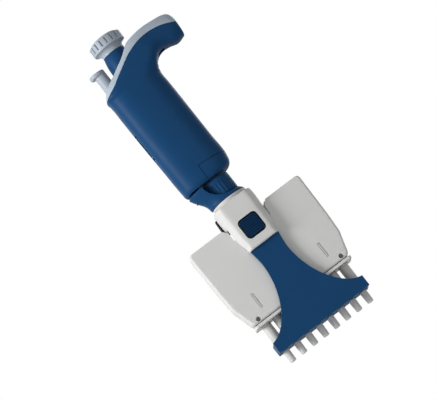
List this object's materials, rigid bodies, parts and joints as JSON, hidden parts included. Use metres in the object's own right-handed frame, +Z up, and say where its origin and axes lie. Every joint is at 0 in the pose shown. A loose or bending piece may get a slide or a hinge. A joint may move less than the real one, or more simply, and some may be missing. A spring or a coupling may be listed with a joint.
{
  "type": "multichannel pipette",
  "caption": "Hand-driven multichannel pipette with hooked grip, volume knob on the plunger, tip ejector with fan-shaped plate, and swivelling head with a row of nozzles.",
  "frame": {"origin": "on the pipette's axis at the level of the nozzle tips", "axes": "+Z up along the plunger's axis, +X towards the finger hook along the row of nozzles, -Y the side of the ejector plate"},
  "size_m": [0.0894, 0.029, 0.246],
  "materials": {
    "blue": "satin moulded plastic",
    "cover": "satin moulded plastic",
    "knob": "matt moulded plastic",
    "cap": "matt moulded plastic",
    "navy": "fine matt moulded plastic",
    "collar": "fine matt moulded plastic",
    "head": "fine matt moulded plastic",
    "lip": "fine matt moulded plastic",
    "nozzle": "smooth moulded plastic",
    "dark": "matt black plastic",
    "window": "clear polished plastic",
    "steel": "ground stainless steel",
    "brass": "turned brass",
    "gear": "moulded acetal",
    "drum": "matt white plastic",
    "chassis": "glass-filled plastic"
  },
  "bodies": {
    "handle": {"handle_shell": "blue", "top_cover": "cover", "calibration_cover": "blue", "display_window": "window", "inner_frame": "chassis", "counter_axle": "steel", "return_spring": "steel", "blowout_spring": "steel", "stop_washer": "steel", "calibration_nut": "brass", "ejector_spring": "steel"},
    "plunger": {"plunger_sleeve": "blue", "plunger_rod": "steel"},
    "knob": {"volume_knob": "knob", "knob_cap": "cap"},
    "drive_gear": {"drive_gear": "gear"},
    "units_drum": {"units_drum": "drum"},
    "tens_drum": {"tens_drum": "drum"},
    "hundreds_drum": {"hundreds_drum": "drum"},
    "volume_nut": {"volume_nut": "gear"},
    "ejector": {"ejector_button": "knob", "ejector_rod": "steel", "ejector_arm": "blue"},
    "union_nut": {"union_nut": "blue"},
    "head": {"swivel_stem": "steel", "swivel_washer": "dark", "head_front_shell": "head", "head_rear_shell": "head", "nozzle_plate": "lip", "plate_screw_left": "steel", "plate_screw_right": "steel", "nozzle_1": "nozzle", "nozzle_2": "nozzle", "nozzle_3": "nozzle", "nozzle_4": "nozzle", "nozzle_5": "nozzle", "nozzle_6": "nozzle", "nozzle_7": "nozzle", "nozzle_8": "nozzle"},
    "carriage": {"push_rod": "steel", "crossbar": "chassis", "piston_1": "steel", "piston_2": "steel", "piston_3": "steel", "piston_4": "steel", "piston_5": "steel", "piston_6": "steel", "piston_7": "steel", "piston_8": "steel"},
    "lower_ejector": {"ejector_collar": "collar", "collar_rear": "dark", "ejector_plate": "blue"},
    "release_button": {"release_button": "navy"}
  },
  "joints": [
    {"name": "plunger_slide", "type": "slide", "parent": "handle", "child": "plunger", "axis": [0, 0, -1], "range_m": [0, 0.0145], "stiffness_N_per_m": 300, "springref_m": -0.01, "deforming": ["return_spring"]},
    {"name": "volume_turn", "type": "hinge", "parent": "plunger", "child": "knob", "pos_m": [0, 0, 0.2405], "axis": [0, 0, 1], "range_deg": [-3240, 0]},
    {"name": "gear_turn", "type": "hinge", "parent": "handle", "child": "drive_gear", "pos_m": [0, 0, 0.1841], "axis": [0, 0, 1], "range_deg": [-3240, 0]},
    {"name": "units_turn", "type": "hinge", "parent": "handle", "child": "units_drum", "pos_m": [-0.01425, 0, 0.176], "axis": [0, 0, 1], "range_deg": [0, 6480]},
    {"name": "tens_turn", "type": "hinge", "parent": "handle", "child": "tens_drum", "pos_m": [-0.01425, 0, 0.169], "axis": [0, 0, 1], "range_deg": [0, 648]},
    {"name": "hundreds_turn", "type": "hinge", "parent": "handle", "child": "hundreds_drum", "pos_m": [-0.01425, 0, 0.162], "axis": [0, 0, 1], "range_deg": [0, 64.8]},
    {"name": "volume_nut_slide", "type": "slide", "parent": "handle", "child": "volume_nut", "axis": [0, 0, 1], "range_m": [0, 0.0108]},
    {"name": "ejector_slide", "type": "slide", "parent": "handle", "child": "ejector", "axis": [0, 0, -1], "range_m": [0, 0.007], "stiffness_N_per_m": 800, "springref_m": -0.004, "deforming": ["ejector_spring"]},
    {"name": "nut_turn", "type": "hinge", "parent": "handle", "child": "union_nut", "pos_m": [0, 0, 0.119], "axis": [0, 0, 1], "range_deg": [0, 540]},
    {"name": "head_swivel", "type": "hinge", "parent": "handle", "child": "head", "pos_m": [0, 0, 0.1], "axis": [0, 0, 1], "continuous": true},
    {"name": "carriage_slide", "type": "slide", "parent": "head", "child": "carriage", "axis": [0, 0, -1], "range_m": [0, 0.0145]},
    {"name": "lower_ejector_slide", "type": "slide", "parent": "head", "child": "lower_ejector", "axis": [0, 0, -1], "range_m": [0, 0.007]},
    {"name": "release_press", "type": "slide", "parent": "lower_ejector", "child": "release_button", "axis": [0, 1, 0], "range_m": [0, 0.0015], "stiffness_N_per_m": 500, "springref_m": -0.001}
  ],
  "couplings": [
    {"joint": "gear_turn", "follows": "volume_turn", "ratio": 1},
    {"joint": "units_turn", "follows": "volume_turn", "ratio": -2},
    {"joint": "tens_turn", "follows": "volume_turn", "ratio": -0.2},
    {"joint": "hundreds_turn", "follows": "volume_turn", "ratio": -0.02},
    {"joint": "volume_nut_slide", "follows": "volume_turn", "m_per_rad": -0.00019098},
    {"joint": "carriage_slide", "follows": "plunger_slide", "ratio": 1},
    {"joint": "lower_ejector_slide", "follows": "ejector_slide", "ratio": 1}
  ]
}
